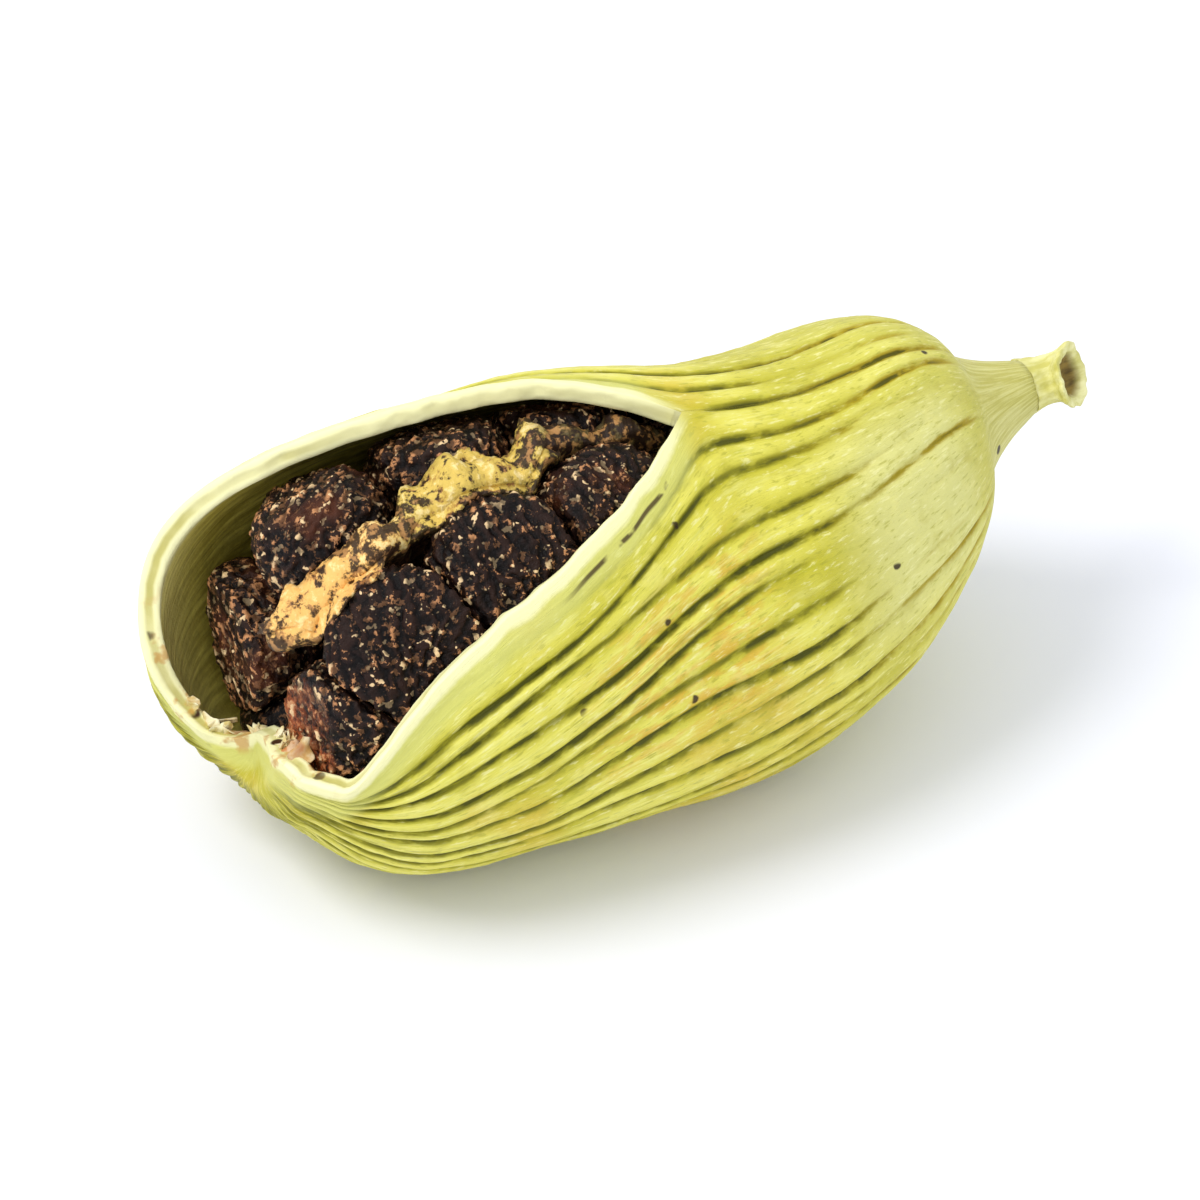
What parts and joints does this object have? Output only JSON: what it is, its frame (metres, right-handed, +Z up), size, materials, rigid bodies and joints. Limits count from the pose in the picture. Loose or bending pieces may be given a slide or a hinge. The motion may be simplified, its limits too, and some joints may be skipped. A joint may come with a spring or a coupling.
{
  "type": "green cardamom pod",
  "caption": "Dried green cardamom pod lying on its side: a ribbed three-sided husk split open towards its tip, packed with dark angular seeds.",
  "frame": {"origin": "middle of the small flat spot that the pod rests on, on the ground, nearly under its centre of mass", "axes": "+X along the pod towards its cut stalk, +Y away from the side that the split leans to, +Z up"},
  "size_m": [0.022, 0.01, 0.0097],
  "materials": {
    "husk_green": "dry, ribbed, yellow-green",
    "stalk_straw": "dry, pale",
    "papery_tan": "papery, tan",
    "seed_dark": "rough, near black",
    "seed_reddish": "rough, dark red-brown",
    "seed_grey": "rough, dark grey-brown"
  },
  "bodies": {
    "root": {"husk": "husk_green", "stalk_stub": "stalk_straw", "membrane": "papery_tan", "seed_01": "seed_dark", "seed_02": "seed_reddish", "seed_03": "seed_grey", "seed_04": "seed_dark", "seed_05": "seed_reddish", "seed_06": "seed_grey", "seed_07": "seed_dark", "seed_08": "seed_reddish", "seed_09": "seed_grey", "seed_10": "seed_dark", "seed_11": "seed_reddish", "seed_12": "seed_grey", "seed_13": "seed_dark", "seed_14": "seed_reddish", "seed_15": "seed_grey", "seed_16": "seed_dark", "seed_17": "seed_reddish", "seed_18": "seed_grey", "seed_19": "seed_dark", "seed_20": "seed_reddish", "seed_21": "seed_grey", "seed_22": "seed_dark", "seed_23": "seed_reddish", "seed_24": "seed_grey"}
  },
  "joints": []
}
